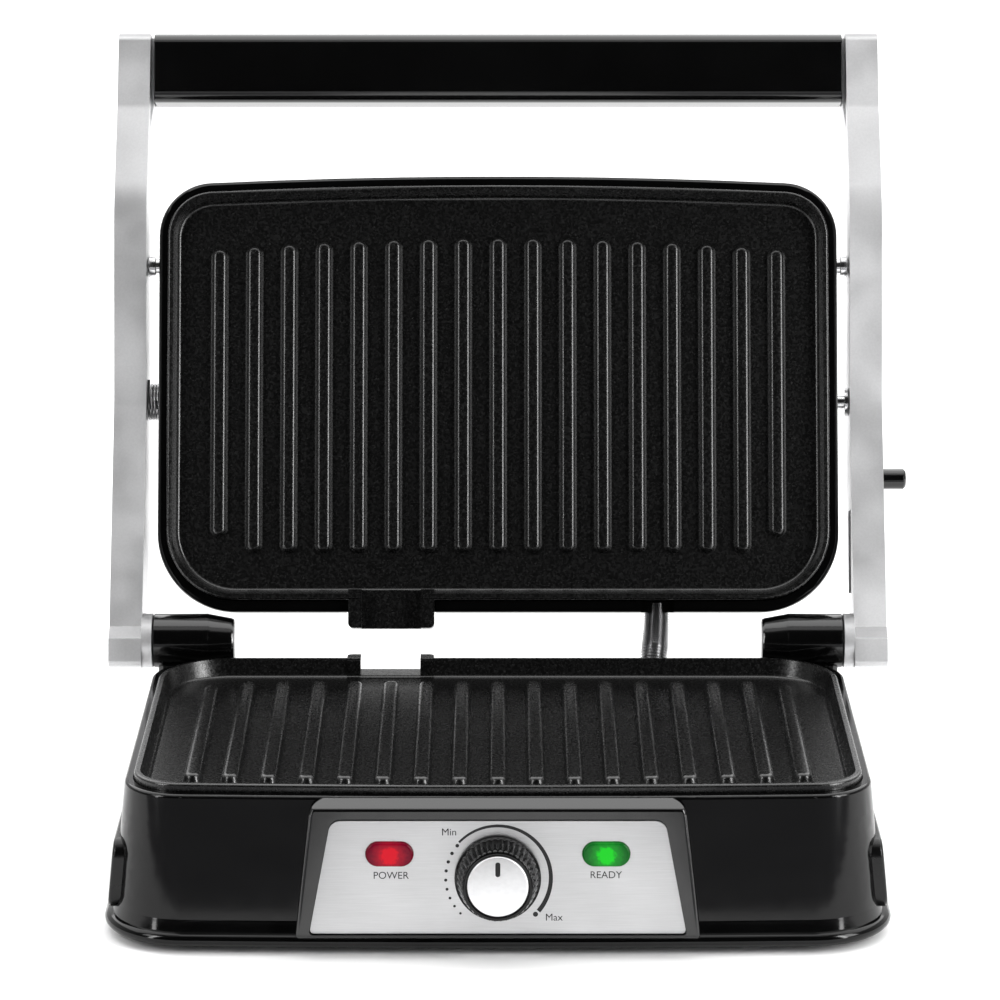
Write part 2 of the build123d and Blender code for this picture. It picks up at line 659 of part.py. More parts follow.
def torsion_spring():
    """Three turns round the left pivot, with a leg on the lid and one on the arm."""
    turns, wire_r, radius = 3, 0.55, 6.7
    coil = Helix(pitch=1.2, height=1.2 * turns, radius=radius)
    start = Plane(origin=coil @ 0, z_dir=coil % 0)
    body = sweep(start * Circle(wire_r), path=coil, is_frenet=True)
    for end in (0, 1):
        point, way = coil @ end, (coil % end) * (1 if end else -1)
        flat = Vector(way.X, way.Y, 0).normalized()
        body += Plane(origin=point + flat * 4.0, z_dir=flat) * Cylinder(wire_r, 8.0)
        body += Pos(*point) * Sphere(wire_r)
    return Pos(-136.9, PIVOT[0], PIVOT[1]) * Rot(0, 90, 0) * body


def conduit():
    """The spring guard that carries the lid's wires from the deck to the lid."""
    y_in, z_in = closed_point(69.5, CONDUIT_LID_Z)
    route = [(CONDUIT_X, 84.5, 40.0), (CONDUIT_X, 84.5, 52.0), (CONDUIT_X + 1.8, 93.6, 63.0),
             (CONDUIT_X + 1.8, y_in, z_in)]
    path = FilletPolyline(*route, radius=(14.0, 24.0))
    start = Plane(origin=path @ 0, z_dir=path % 0)
    tube = sweep(start * Circle(CONDUIT_R), path=path)
    print("conduit length", round(path.length, 1), "volume over section times length",
          round(tube.volume / (math.pi * CONDUIT_R ** 2 * path.length), 4))
    return tube


def drip_tray():
    outer = block(TRAY_X, TRAY_Y, TRAY_Z)
    outer = fillet(outer.edges().filter_by(Axis.Z), 4.0)
    inner = block((TRAY_X[0] + 1.8, TRAY_X[1] - 1.8), (TRAY_Y[0] + 1.8, TRAY_Y[1] - 1.8), (TRAY_Z[0] + 1.8, 40))
    inner = fillet(inner.edges().filter_by(Axis.Z), 2.6)
    face = block((TRAY_X[0] - 3, TRAY_X[1] + 3), (93.4, 95.6), (TRAY_Z[0] - 1.0, TRAY_Z[1] + 0.5))
    face = fillet(face.edges().filter_by(Axis.Y), 3.0)
    neck = block((TRAY_X[0] + 2, TRAY_X[1] - 2), (TRAY_Y[1] - 2, 93.6), (TRAY_Z[0] + 1, TRAY_Z[1] - 1))
    pull = block((-60, -20), (95.3, 99.0), (TRAY_Z[1] - 6, TRAY_Z[1] - 2))
    pull = fillet(pull.edges().filter_by(Axis.X).group_by(Axis.Y)[-1], 1.2)
    return outer - inner + neck + face + pull


def terminal_block():
    body = block((40, 76), (50, 66), (4.8, 18))
    for index in range(3):
        body -= post(46 + index * 12, 58, 12, 20, 2.4)
    return body


def power_gland():
    """The bush where the mains lead goes in; the lead itself isn't part of this object."""
    flange = Pos(GLAND_X, 93.6, 26) * Rot(90, 0, 0) * Cylinder(9.5, 2.4)
    neck = Pos(GLAND_X, 89.5, 26) * Rot(90, 0, 0) * Cylinder(6.9, 6.4)
    return flange + neck - Pos(GLAND_X, 90, 26) * Rot(90, 0, 0) * Cylinder(3.6, 20)


def cover_screws():
    one = screw(1.4, 2.8, 11.0, 1.4)
    places = [(x, y) for x in (-118, 118) for y in (-60, 50)]
    return Compound(children=[Pos(x, y, 3.0) * Rot(180, 0, 0) * one for x, y in places])


def build():
    keep("base_housing", base_housing())
    keep("base_bottom_cover", base_cover())
    for name, x, y in (("front_left", -1, -1), ("front_right", 1, -1), ("rear_left", -1, 1), ("rear_right", 1, 1)):
        keep("foot_" + name, foot(x * FOOT_X, -FOOT_Y if y < 0 else FOOT_Y - 6))
    panel_right, panel_left = both(side_panel)
    keep("side_panel_right", panel_right)
    keep("side_panel_left", panel_left)
    keep("control_bezel", control_bezel())
    keep("control_fascia", control_fascia())
    for name, x in (("power", -LIGHT_X), ("ready", LIGHT_X)):
        keep(name + "_light_lens", light_lens(x))
        keep(name + "_lamp", neon_lamp(x))
        keep(name + "_lamp_holder", lamp_holder(x))
    keep("thermostat", thermostat())
    keep("thermostat_shaft", knob_shaft())
    keep("thermostat_knob", knob_body())
    keep("thermostat_knob_cap", knob_cap())
    keep("lower_grill_plate", lower_plate())
    keep("lower_heating_element", heating_element(PLATE_FLOOR - PLATE_THICK - 3.3))
    keep("lower_heat_reflector", reflector(36.5))
    barrel_right, barrel_left = both(hinge_barrel)
    keep("hinge_barrel_right", barrel_right)
    keep("hinge_barrel_left", barrel_left)
    pin_right, pin_left = both(hinge_pin)
    keep("hinge_pin_right", pin_right)
    keep("hinge_pin_left", pin_left)
    keep("hinge_barrel_screws", bracket_screw_group())
    keep("base_cover_screws", cover_screws())
    keep("drip_tray", drip_tray())
    keep("terminal_block", terminal_block())
    keep("power_inlet_gland", power_gland())
    keep("lid_conduit", conduit())
    keep("arm_right", opened(arm(1)))
    keep("arm_left", opened(arm(-1)))
    keep("handle_bar", opened(handle_bar()))
    keep("handle_tie_rod", opened(handle_rod()))
    keep("release_slider", opened(release_slider()))
    keep("release_knob", opened(release_knob()))
    keep("release_spring", opened(release_spring()))
    keep("lid_housing", opened(lid_shell()))
    keep("lid_top_cover", opened(lid_cover()))
    keep("upper_grill_plate", opened(lid_plate()))
    keep("upper_heating_element", opened(lid_side(heating_element(PLATE_FLOOR - PLATE_THICK - 3.3))))
    keep("upper_heat_reflector", opened(lid_side(reflector(36.5))))
    pivot_right, pivot_left = both(pivot_pin)
    keep("pivot_pin_right", opened(pivot_right))
    keep("pivot_pin_left", opened(pivot_left))
    keep("pivot_washer_right", opened(pivot_washer()))
    stop_right, stop_left = both(stop_pin)
    keep("stop_pin_right", opened(stop_right))
    keep("stop_pin_left", opened(stop_left))
    keep("lid_torsion_spring", opened(torsion_spring()))


if __name__ == "__main__":
    build()
    os.makedirs("parts", exist_ok=True)
    for name, piece in PIECES.items():
        export_step(piece, f"parts/{name}.step")
    print(len(PIECES), "nodes written")
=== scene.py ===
import bpy
import bmesh
import json
import math
from mathutils import Matrix, Vector


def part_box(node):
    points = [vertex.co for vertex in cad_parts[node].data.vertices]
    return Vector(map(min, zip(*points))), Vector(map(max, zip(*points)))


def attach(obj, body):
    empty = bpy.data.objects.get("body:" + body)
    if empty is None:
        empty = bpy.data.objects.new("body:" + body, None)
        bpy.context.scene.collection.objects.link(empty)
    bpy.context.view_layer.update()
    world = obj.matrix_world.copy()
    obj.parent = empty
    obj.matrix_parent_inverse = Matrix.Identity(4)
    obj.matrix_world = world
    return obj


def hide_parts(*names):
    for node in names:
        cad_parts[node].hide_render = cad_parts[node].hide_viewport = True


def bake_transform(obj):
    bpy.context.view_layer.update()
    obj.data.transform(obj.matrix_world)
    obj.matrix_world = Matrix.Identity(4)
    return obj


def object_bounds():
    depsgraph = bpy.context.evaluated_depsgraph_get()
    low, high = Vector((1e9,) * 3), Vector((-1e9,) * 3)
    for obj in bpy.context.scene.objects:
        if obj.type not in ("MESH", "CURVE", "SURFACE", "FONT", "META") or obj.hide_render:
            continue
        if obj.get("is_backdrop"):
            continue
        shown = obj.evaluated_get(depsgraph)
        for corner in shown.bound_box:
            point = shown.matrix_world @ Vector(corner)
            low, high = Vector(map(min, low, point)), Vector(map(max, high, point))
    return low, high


# %% [markdown]
# # A panini press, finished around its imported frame
# The press comes in as a frame of named metal and plastic parts, in metres, standing on z = 0 with
# its front towards -Y. This lesson gives each part its surface and makes the small parts that need
# more detail than the frame carries: the knob, the dial printing, the lamps and the spring guard.

# %% Load the frame
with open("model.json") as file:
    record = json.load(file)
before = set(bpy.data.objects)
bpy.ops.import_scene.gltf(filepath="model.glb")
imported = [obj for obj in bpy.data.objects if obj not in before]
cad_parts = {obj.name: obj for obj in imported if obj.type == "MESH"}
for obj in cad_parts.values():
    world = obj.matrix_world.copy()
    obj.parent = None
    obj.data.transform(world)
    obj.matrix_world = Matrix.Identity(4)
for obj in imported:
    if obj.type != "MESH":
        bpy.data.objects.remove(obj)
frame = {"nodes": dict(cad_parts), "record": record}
cad_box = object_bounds()
MM = 0.001
bodies = frame["record"]["behaviour"]["bodies"]
body_of_node = {node: body for body, nodes in bodies.items() for node in nodes}
slot_of_node = {part["node"]: part["material_slot"] for part in frame["record"]["subparts"]}

# %% [markdown]
# ## The camera
# A long lens, a little above the press and looking slightly down, keeps the two arms nearly
# parallel. It is made first so that every later choice can be judged through it.

# %% Camera
lens = bpy.data.cameras.new("camera")
lens.lens = 158.1
lens.sensor_width = 36.0
lens.clip_end = 50.0
camera = bpy.data.objects.new("camera", lens)
camera.location = (0.00075, -1.5536, 0.5296)
camera.rotation_euler = (math.radians(75.9), 0.0, 0.0)
bpy.context.scene.collection.objects.link(camera)
bpy.context.scene.camera = camera
print("camera at", tuple(round(c, 3) for c in camera.location))

# %% [markdown]
# ## Small helpers for finishes
# Every finish is a Principled shader with a few nodes in front of it. Three helpers keep them short:
# one adds a node and plugs its inputs, one makes grain of a stated size from the piece's own
# coordinates, and one turns that grain into a colour or a number.

# %% Node helpers
def add_node(tree, kind, inputs=None, **settings):
    made = tree.nodes.new("ShaderNode" + kind)
    for name, value in settings.items():
        setattr(made, name, value)
    for name, value in (inputs or {}).items():
        if isinstance(value, bpy.types.NodeSocket):
            tree.links.new(value, made.inputs[name])
        else:
            made.inputs[name].default_value = value
    return made


def start_finish(name):
    material = bpy.data.materials.new(name)
    material.use_nodes = True
    shader = material.node_tree.nodes["Principled BSDF"]
    return material, material.node_tree, shader


def grain(tree, size, detail=2.0, stretch=(1.0, 1.0, 1.0)):
    """Noise whose blotches are about size metres across, longer along an axis stretched above 1."""
    place = add_node(tree, "TexCoord")
    scaled = add_node(tree, "Mapping", {"Vector": place.outputs["Object"]})
    scaled.inputs["Scale"].default_value = [1.0 / (size * s) for s in stretch]
    noise = add_node(tree, "TexNoise", {"Vector": scaled.outputs["Vector"], "Scale": 1.0, "Detail": detail})
    return noise.outputs["Fac"]


def number(tree, fac, low, high, start=0.35, end=0.65):
    made = add_node(tree, "MapRange", {"Value": fac, "From Min": start, "From Max": end,
                                       "To Min": low, "To Max": high})
    return made.outputs["Result"]


def colours(tree, fac, stops, start=0.35, end=0.65):
    """A ramp from a list of (position, colour), spread over the middle of the noise."""
    spread = number(tree, fac, 0.0, 1.0, start, end)
    ramp = add_node(tree, "ValToRGB", {"Fac": spread})
    while len(ramp.color_ramp.elements) < len(stops):
        ramp.color_ramp.elements.new(0.5)
    for element, (position, colour) in zip(ramp.color_ramp.elements, stops):
        element.position = position
        element.color = (*colour, 1.0)
    return ramp.outputs["Color"]


def relief(tree, height, depth, strength=1.0):
    bump = add_node(tree, "Bump", {"Height": height, "Distance": depth, "Strength": strength})
    return bump.outputs["Normal"]


def plug(tree, shader, **sockets):
    """Links or sets shader inputs by their names, with _ for a space."""
    for name, value in sockets.items():
        socket = shader.inputs[name.replace("_", " ")]
        if isinstance(value, bpy.types.NodeSocket):
            tree.links.new(value, socket)
        else:
            socket.default_value = value


def grey(level, tint=0.0):
    return (level, level, level * (1.0 + tint))

# %% [markdown]
# ## The finishes
# The housing is polished black plastic with a faint orange peel. The plates are cast aluminium
# under a sprayed non-stick coat, whose tiny pale flecks catch the light on the ribs' sides. The
# arms are satin metal, the panel is brushed sheet, and the springs and pins are bright wire.

# %% Black plastics
def moulded(name, level, rough, peel, depth, shine):
    material, tree, shader = start_finish(name)
    broad = grain(tree, 45 * MM, 3.0)
    tones = [(0.0, grey(level * 0.8, 0.04)), (1.0, grey(level * 1.3, 0.04))]
    plug(tree, shader, Base_Color=colours(tree, broad, tones),
         Roughness=number(tree, grain(tree, 12 * MM, 4.0), rough * 0.85, rough * 1.2),
         Normal=relief(tree, grain(tree, peel, 1.0), depth))
    shader.inputs["Specular IOR Level"].default_value = shine
    return material


finishes = {
    "gloss_black_plastic": moulded("gloss_black_plastic", 0.0012, 0.11, 1.6 * MM, 0.003 * MM, 0.26),
    "bright_black_plastic": moulded("bright_black_plastic", 0.0010, 0.13, 1.6 * MM, 0.003 * MM, 0.6),
    "satin_black_plastic": moulded("satin_black_plastic", 0.0014, 0.24, 0.5 * MM, 0.006 * MM, 0.30),
    "grey_phenolic": moulded("grey_phenolic", 0.10, 0.5, 0.3 * MM, 0.02 * MM, 0.4),
    "foot_rubber": moulded("foot_rubber", 0.02, 0.8, 0.4 * MM, 0.03 * MM, 0.3),
}
print("plastics:", sorted(finishes))

# %% Non-stick coat
def nonstick(name):
    """Black coat with flecks about half a millimetre across and a sprayed texture."""
    material, tree, shader = start_finish(name)
    flecks = grain(tree, 0.55 * MM, 1.0)
    mist = grain(tree, 1.1 * MM, 3.0)
    tones = [(0.0, grey(0.0010)), (0.62, grey(0.0014)), (0.80, grey(0.006)), (1.0, grey(0.022))]
    plug(tree, shader, Base_Color=colours(tree, flecks, tones, 0.3, 0.76),
         Roughness=number(tree, mist, 0.21, 0.32),
         Normal=relief(tree, flecks, 0.022 * MM, 1.0))
    shader.inputs["Specular IOR Level"].default_value = 0.6
    return material


finishes["nonstick_coat"] = nonstick("nonstick_coat")
print("non-stick coat made")

# %% Metals
def metal(name, level, rough, grain_size, stretch=(1.0, 1.0, 1.0), depth=0.002 * MM, spread=0.12):
    material, tree, shader = start_finish(name)
    lines = grain(tree, grain_size, 3.0, stretch)
    broad = grain(tree, 30 * MM, 2.0)
    plug(tree, shader, Metallic=1.0,
         Base_Color=colours(tree, lines, [(0.0, grey(level * (1 - spread), 0.01)), (1.0, grey(level, 0.01))]),
         Roughness=number(tree, broad, rough * 0.9, rough * 1.12),
         Normal=relief(tree, lines, depth))
    return material


finishes.update({
    "satin_steel": metal("satin_steel", 0.74, 0.44, 0.9 * MM, (1.0, 1.0, 1.0), 0.0012 * MM, 0.05),
    "brushed_panel": metal("brushed_panel", 0.58, 0.38, 0.30 * MM, (40.0, 1.0, 1.0), 0.0015 * MM, 0.07),
    "bright_steel": metal("bright_steel", 0.78, 0.16, 0.5 * MM),
    "spring_steel": metal("spring_steel", 0.40, 0.26, 0.4 * MM, (1.0, 1.0, 1.0), 0.002 * MM),
    "zinc_screws": metal("zinc_screws", 0.6, 0.3, 0.4 * MM),
    "heater_sheath": metal("heater_sheath", 0.28, 0.45, 0.7 * MM),
    "reflector_sheet": metal("reflector_sheet", 0.7, 0.22, 0.5 * MM, (30.0, 1.0, 1.0)),
})
print("metals:", len(finishes))

# %% [markdown]
# The arms are the same satin metal all over. Faces that look upwards when the lid is open mirror
# the overhead light and would merge with the pale background, most of all the ledge by the hinge.
# So this finish paints shade into the metal's colour by how far a face looks up: painted shade chosen for
# the picture, not a mark on the real arms.

# %% Arm metal, with painted shade
def arm_metal_with_painted_shade(name):
    material = metal(name, 0.74, 0.44, 0.9 * MM, (1.0, 1.0, 1.0), 0.0012 * MM, 0.05)
    tree = material.node_tree
    shader = next(node for node in tree.nodes if node.type == "BSDF_PRINCIPLED")
    colour = shader.inputs["Base Color"].links[0].from_socket
    turned = add_node(tree, "TexCoord")
    up = add_node(tree, "SeparateXYZ", {"Vector": turned.outputs["Normal"]})
    # Painted shade: faces that look up get darker metal, down to 0.36 of its colour on the most upward faces.
    upward_painted_shade = add_node(tree, "MapRange", {"Value": up.outputs["Z"], "From Min": 0.55, "From Max": 0.85,
                                       "To Min": 1.0, "To Max": 0.36})
    shaded = add_node(tree, "VectorMath", {0: colour}, operation="SCALE")
    tree.links.new(upward_painted_shade.outputs["Result"], shaded.inputs["Scale"])
    tree.links.new(shaded.outputs["Vector"], shader.inputs["Base Color"])
    return material


finishes["arm_steel_painted_shade"] = arm_metal_with_painted_shade("arm_steel_painted_shade")
print("arm metal made")

# %% Ceramic and glass of the parts inside
def plain_grained(name, colour, rough):
    material, tree, shader = start_finish(name)
    darker = tuple(c * 0.85 for c in colour)
    plug(tree, shader, Base_Color=colours(tree, grain(tree, 2 * MM), [(0.0, darker), (1.0, colour)]),
         Roughness=rough)
    return material


finishes["white_ceramic"] = plain_grained("white_ceramic", (0.8, 0.79, 0.75), 0.6)
finishes["lamp_glass"] = plain_grained("lamp_glass", (0.85, 0.7, 0.55), 0.1)
print("ceramic and glass made")

# %% Lit lenses
GLOW_REACH = 8.5 * MM


def lit_lens(name, centre, deep, mid, hot):
    """A coloured lens with a small lamp glowing behind its middle; the glow fades with distance."""
    material, tree, shader = start_finish(name)
    place = add_node(tree, "TexCoord")
    away = add_node(tree, "VectorMath", {0: place.outputs["Object"]}, operation="SUBTRACT")
    away.inputs[1].default_value = centre
    squashed = add_node(tree, "VectorMath", {0: away.outputs["Vector"]}, operation="MULTIPLY")
    squashed.inputs[1].default_value = (1.0, 0.0, 1.0)
    far = add_node(tree, "VectorMath", {0: squashed.outputs["Vector"]}, operation="LENGTH")
    ripple = number(tree, grain(tree, 1.2 * MM, 1.0), -0.4 * MM, 0.4 * MM)
    reach = add_node(tree, "Math", {0: far.outputs["Value"], 1: ripple}, operation="ADD")
    rim = tuple(c * 0.45 for c in deep)
    bands = [(0.0, hot), (0.30, hot), (0.42, mid), (0.75, deep), (1.0, rim)]
    glow = colours(tree, reach.outputs["Value"], bands, 0.0, GLOW_REACH)
    plug(tree, shader, Base_Color=(*(c * 0.5 for c in deep), 1.0), Emission_Color=glow,
         Emission_Strength=1.0, Roughness=0.12)
    shader.inputs["Specular IOR Level"].default_value = 0.12
    return material


def middle(node):
    low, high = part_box(node)
    return (low + high) / 2


finishes["card_grey"] = moulded("card_grey", 0.20, 0.9, 2 * MM, 0.002 * MM, 0.0)
finishes["red_lens"] = lit_lens("red_lens", middle("power_light_lens"), (0.10, 0.001, 0.010),
                                (0.30, 0.004, 0.014), (0.62, 0.004, 0.012))
finishes["green_lens"] = lit_lens("green_lens", middle("ready_light_lens"), (0.004, 0.085, 0.010),
                                  (0.008, 0.24, 0.016), (0.006, 0.60, 0.012))
print("finishes:", len(finishes))

# %% [markdown]
# ## Hidden parts
# Parts inside the press keep their frame meshes. They only need the right finish, because an
# open view from below or behind can still catch one.

# %% Finish every frame node
for name, node in frame["nodes"].items():
    node.data.materials.clear()
    node.data.materials.append(finishes[slot_of_node[name]])

# %% [markdown]
# ## Smooth skins for the visible parts
# A frame node arrives as loose triangles, which would shade as facets. Each visible part gets a
# skin: a merged copy whose edges stay sharp only where the faces really turn. A narrow Bevel
# modifier then rounds those edges, because a moulded or cast edge always shows a thin highlight.

# %% Skin helper
def new_piece(bm, name, body, finish, *nodes):
    mesh = bpy.data.meshes.new(name)
    bm.to_mesh(mesh)
    bm.free()
    piece = bpy.data.objects.new(name, mesh)
    bpy.context.scene.collection.objects.link(piece)
    piece.data.materials.append(finishes[finish])
    if body:
        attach(piece, body)
    if nodes:
        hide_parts(*nodes)
    return piece


def set_edges(bm, degrees):
    limit = math.radians(degrees)
    for face in bm.faces:
        face.smooth = True
    for edge in bm.edges:
        edge.smooth = len(edge.link_faces) == 2 and edge.calc_face_angle(0.0) < limit


def round_edges(piece, width, degrees=35.0, segments=2):
    bevel = piece.modifiers.new("round", "BEVEL")
    bevel.width = width
    bevel.segments = segments
    bevel.limit_method = "ANGLE"
    bevel.angle_limit = math.radians(degrees)
    bevel.harden_normals = True
    bevel.use_clamp_overlap = True
    even = piece.modifiers.new("even", "WEIGHTED_NORMAL")
    even.keep_sharp = True


def skin(node, width=0.0, degrees=32.0, finish=None):
    bm = bmesh.new()
    bm.from_mesh(frame["nodes"][node].data)
    bmesh.ops.remove_doubles(bm, verts=bm.verts, dist=0.002 * MM)
    bmesh.ops.dissolve_degenerate(bm, edges=bm.edges, dist=0.001 * MM)
    bmesh.ops.dissolve_limit(bm, angle_limit=math.radians(0.4), verts=bm.verts, edges=bm.edges)
    set_edges(bm, degrees)
    piece = new_piece(bm, node + "_skin", body_of_node[node], finish or slot_of_node[node], node)
    if width:
        round_edges(piece, width, degrees)
    return piece


skins = {
    "base_housing": 0.35, "base_bottom_cover": 0.0, "side_panel_left": 0.25, "side_panel_right": 0.25,
    "control_bezel": 0.25, "lower_grill_plate": 0.0, "upper_grill_plate": 0.0, "lid_housing": 0.3,
    "lid_top_cover": 0.3, "arm_left": 0.5, "arm_right": 0.5, "handle_bar": 0.3,
    "hinge_barrel_left": 0.25, "hinge_barrel_right": 0.25, "pivot_pin_left": 0.15, "pivot_pin_right": 0.15,
    "pivot_washer_right": 0.15, "stop_pin_left": 0.15, "stop_pin_right": 0.15, "lid_torsion_spring": 0.0,
    "release_knob": 0.1, "release_slider": 0.0, "drip_tray": 0.2, "power_inlet_gland": 0.3,
    "power_light_lens": 0.0, "ready_light_lens": 0.0, "control_fascia": 0.0,
    "foot_front_left": 0.2, "foot_front_right": 0.2, "foot_rear_left": 0.2, "foot_rear_right": 0.2,
}
shiny = {"control_bezel", "handle_bar", "hinge_barrel_left", "hinge_barrel_right", "release_knob"}
own_finish = {node: "bright_black_plastic" for node in shiny}
own_finish.update({"arm_left": "arm_steel_painted_shade", "arm_right": "arm_steel_painted_shade"})
for node, width in skins.items():
    skin(node, width * MM, finish=own_finish.get(node))
print("skins:", len(skins))

# %% [markdown]
# ## The control panel's own plane
# The panel leans back a little. Its parts are drawn flat, with X to the right, Y up the panel and
# Z out of it, and one matrix carries them into place.

# %% Panel plane
PANEL_TILT = math.radians(5.7)
PANEL_MIDDLE = Vector((0.0, -100.0, 28.6)) * MM
panel = Matrix.Translation(PANEL_MIDDLE) @ Matrix.Rotation(math.radians(90.0) - PANEL_TILT, 4, "X")
print("panel faces", tuple(round(c, 3) for c in panel.to_3x3() @ Vector((0, 0, 1))))

# %% [markdown]
# ## The thermostat knob
# The real knob is a tapered black grip with a ring of shallow flutes and a flat skirt. A circle is
# extruded and scaled step by step up the profile; then every fourth column of the grip is pulled
# inwards, which gives forty flutes without drawing any of them.

# %% Knob grip
# radius and height of each step up the knob, in millimetres
KNOB_PROFILE = [(15.1, 0.5), (15.1, 1.6), (14.85, 2.0), (14.35, 2.3), (14.30, 3.0), (13.75, 6.5),
                (13.05, 10.5), (12.75, 11.8), (12.35, 12.7), (11.75, 13.0), (11.2, 13.0),
                (10.8, 12.75), (10.75, 12.25), (0.6, 12.25)]
FLUTED = (4, 5, 6, 7)
COLUMNS = 160
FLUTE_PULL = (0.955, 0.985, 1.0, 0.985)


def knob_grip():
    bm = bmesh.new()
    radius, height = KNOB_PROFILE[0]
    bmesh.ops.create_circle(bm, cap_ends=True, cap_tris=False, radius=radius * MM, segments=COLUMNS)
    bmesh.ops.translate(bm, vec=(0, 0, height * MM), verts=bm.verts)
    bmesh.ops.reverse_faces(bm, faces=bm.faces)
    edges = list(bm.edges)
    rings = []
    for next_radius, next_height in KNOB_PROFILE[1:]:
        grown = bmesh.ops.extrude_edge_only(bm, edges=edges)["geom"]
        ring = [g for g in grown if isinstance(g, bmesh.types.BMVert)]
        edges = [g for g in grown if isinstance(g, bmesh.types.BMEdge)]
        edges = [e for e in edges if all(v in ring for v in e.verts)]
        bmesh.ops.scale(bm, vec=(next_radius / radius, next_radius / radius, 1.0), verts=ring)
        bmesh.ops.translate(bm, vec=(0, 0, (next_height - height) * MM), verts=ring)
        rings.append(ring)
        radius, height = next_radius, next_height
    bmesh.ops.holes_fill(bm, edges=edges, sides=0)
    for index in FLUTED:
        for vert in rings[index - 1]:
            column = round(math.atan2(vert.co.y, vert.co.x) / math.tau * COLUMNS)
            pull = FLUTE_PULL[column % 4]
            bmesh.ops.scale(bm, vec=(pull, pull, 1.0), verts=[vert])
    bmesh.ops.recalc_face_normals(bm, faces=bm.faces)
    set_edges(bm, 50)
    bmesh.ops.transform(bm, matrix=panel, verts=bm.verts)
    return new_piece(bm, "knob_grip", "knob", "gloss_black_plastic", "thermostat_knob")


knob = knob_grip()
print("knob grip faces:", len(knob.data.polygons))

# %% [markdown]
# The cap is a thin satin disc let into the front of the grip, with a turned bright edge. The
# pointer is a short black bar with round ends, a hair proud of the disc.

# %% Knob cap and pointer
def disc(bm, radius, low, high, bevel, segments=96):
    middle_height = Matrix.Translation((0, 0, (low + high) / 2))
    bmesh.ops.create_cone(bm, cap_ends=True, cap_tris=False, segments=segments, radius1=radius,
                          radius2=radius, depth=high - low, matrix=middle_height)
    rim = [e for e in bm.edges if all(v.co.z > high - 1e-6 for v in e.verts)]
    bmesh.ops.bevel(bm, geom=rim, offset=bevel, offset_type="OFFSET", segments=4, profile=0.5,
                    affect="EDGES", material=-1, clamp_overlap=True)


def raise_faces(bm, faces, rise):
    """Faces drawn flat are extruded straight up by rise."""
    top = bmesh.ops.extrude_face_region(bm, geom=faces)["geom"]
    raised = [g for g in top if isinstance(g, bmesh.types.BMVert)]
    bmesh.ops.translate(bm, vec=(0, 0, rise), verts=raised)


def capsule(bm, length, width, low, high, ends=12):
    """A bar with round ends lying along Y, from low to high: a circle whose halves are moved apart."""
    made = bmesh.ops.create_circle(bm, cap_ends=True, radius=width / 2, segments=ends * 2)
    shift = (length - width) / 2
    for vert in made["verts"]:
        vert.co.y += shift if vert.co.y > 1e-7 else -shift if vert.co.y < -1e-7 else 0.0
    bmesh.ops.translate(bm, vec=(0, 0, low), verts=made["verts"])
    faces = list({f for v in made["verts"] for f in v.link_faces})
    raise_faces(bm, faces, high - low)
    bmesh.ops.recalc_face_normals(bm, faces=bm.faces)


finishes["knob_cap_face"] = metal("knob_cap_face", 0.80, 0.42, 0.25 * MM, (8.0, 1.0, 8.0), 0.003 * MM, 0.05)
bm = bmesh.new()
disc(bm, 10.6 * MM, 12.25 * MM, 13.85 * MM, 0.5 * MM)
set_edges(bm, 50)
bmesh.ops.transform(bm, matrix=panel, verts=bm.verts)
cap = new_piece(bm, "knob_cap", "knob", "knob_cap_face", "thermostat_knob_cap")
bm = bmesh.new()
capsule(bm, 5.2 * MM, 1.75 * MM, 13.8 * MM, 13.9 * MM)
bmesh.ops.transform(bm, matrix=panel @ Matrix.Translation((0, 6.1 * MM, 0)), verts=bm.verts)
new_piece(bm, "knob_pointer", "knob", "satin_black_plastic")
print("knob cap and pointer made")

# %% [markdown]
# ## Dial printing
# The words and marks are printed ink, so each is a flat shape a few hundredths of a millimetre
# proud of the panel. The arc grows thicker towards its end, so it is spun from a short edge whose
# inner and outer ends are then moved apart ring by ring.

# %% Ink
finishes["dial_ink"] = moulded("dial_ink", 0.012, 0.5, 0.3 * MM, 0.002 * MM, 0.3)
INK_LOW, INK_HIGH = -0.02 * MM, 0.04 * MM


def clockwise(degrees, radius):
    """A point on the panel, with degrees measured clockwise from straight up."""
    turn = math.radians(degrees)
    return Vector((math.sin(turn) * radius, math.cos(turn) * radius, 0.0))


def dial_arc(bm, radius, start, end, thin, thick, steps=90):
    first = [bm.verts.new(clockwise(start, radius + side * thin / 2)) for side in (-1, 1)]
    edge = bm.edges.new(first)
    bmesh.ops.spin(bm, geom=[*first, edge], axis=(0, 0, 1), cent=(0, 0, 0),
                   angle=-math.radians(end - start), steps=steps)
    for vert in bm.verts:
        turn = math.degrees(math.atan2(vert.co.x, vert.co.y)) % 360
        if turn > 270:
            turn -= 360
        width = thin + (thick - thin) * max(0.0, min(1.0, (turn - start) / (end - start)))
        side = 1 if vert.co.length > radius else -1
        vert.co = vert.co.normalized() * (radius + side * width / 2)


def lay_ink(bm):
    raise_faces(bm, list(bm.faces), INK_HIGH - INK_LOW)
    bmesh.ops.translate(bm, vec=(0, 0, INK_LOW), verts=bm.verts)
    bmesh.ops.recalc_face_normals(bm, faces=bm.faces)
    bmesh.ops.transform(bm, matrix=panel, verts=bm.verts)


bm = bmesh.new()
dial_arc(bm, 18.5 * MM, -47.0, 130.0, 0.8 * MM, 1.6 * MM)
lay_ink(bm)
new_piece(bm, "dial_arc", "base", "dial_ink")
bm = bmesh.new()
dots = [(18.2, -51.0 - 10.4 * step, 0.65 - 0.025 * step) for step in range(9)] + [(18.5, 134.7, 0.9)]
for radius, degrees, size in dots:
    bmesh.ops.create_circle(bm, cap_ends=True, radius=size * MM, segments=24,
                            matrix=Matrix.Translation(clockwise(degrees, radius * MM)))
lay_ink(bm)
new_piece(bm, "dial_dots", "base", "dial_ink")
print("dial dots:", len(dots))

# %% Words
WORD_SIZE = 3.6 * MM


